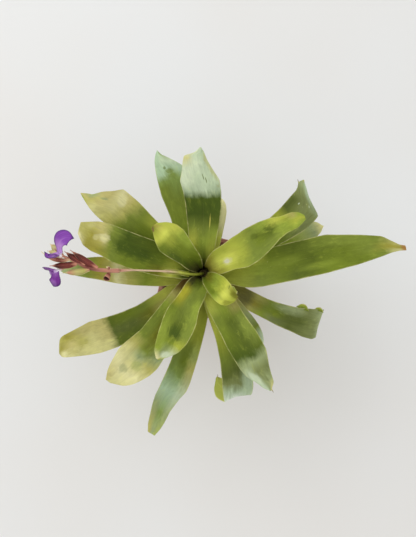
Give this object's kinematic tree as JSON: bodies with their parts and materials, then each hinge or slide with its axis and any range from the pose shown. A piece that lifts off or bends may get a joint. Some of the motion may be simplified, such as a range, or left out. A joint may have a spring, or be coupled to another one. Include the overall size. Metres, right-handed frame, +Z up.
{
  "type": "potted tillandsia hamaleana",
  "caption": "Potted bromeliad: strap-leaved rosette round a water-holding crown, leaning violet-flowered spike, in a small square nursery pot of bark mix",
  "frame": {"origin": "centre of the pot's flat underside", "axes": "+Z up, +X towards the tip of the longest leaf, +Y towards the leaf that points up in the picture; -Z is the resting face"},
  "size_m": [0.3197, 0.2668, 0.179],
  "materials": {
    "pot": "terracotta-coloured thin moulded plastic, matt",
    "potting_mix": "loose bark chips and fibre, rough, dark brown",
    "stem": "short fibrous plant stem, tan, rough",
    "leaf": "living leaf, satin, yellow-green with darker bands, mint bloom and pale margins",
    "scape": "slender living stalk, satin, dusty pink",
    "scape_bract": "living bract, satin, yellow-green with a whitish tip",
    "spike": "living bracts, satin, dark red-brown with pinkish and yellow-green edges",
    "spent_bud": "dried flower cup, matt brown",
    "petal": "thin living petal, violet with a white throat, soft"
  },
  "bodies": {
    "root": {"pot": "pot", "potting_mix": "potting_mix", "stem": "stem", "leaf_01": "leaf", "leaf_02": "leaf", "leaf_03": "leaf", "leaf_04": "leaf", "leaf_05": "leaf", "leaf_06": "leaf", "leaf_07": "leaf", "leaf_08": "leaf", "leaf_09": "leaf", "leaf_10": "leaf", "leaf_11": "leaf", "leaf_12": "leaf", "leaf_13": "leaf", "leaf_14": "leaf", "leaf_15": "leaf", "leaf_16": "leaf", "leaf_17": "leaf", "leaf_18": "leaf", "leaf_19": "leaf", "leaf_20": "leaf", "scape": "scape", "scape_bract": "scape_bract", "spike": "spike", "spent_bud": "spent_bud", "flower_1": "petal", "flower_2": "petal"}
  },
  "joints": []
}
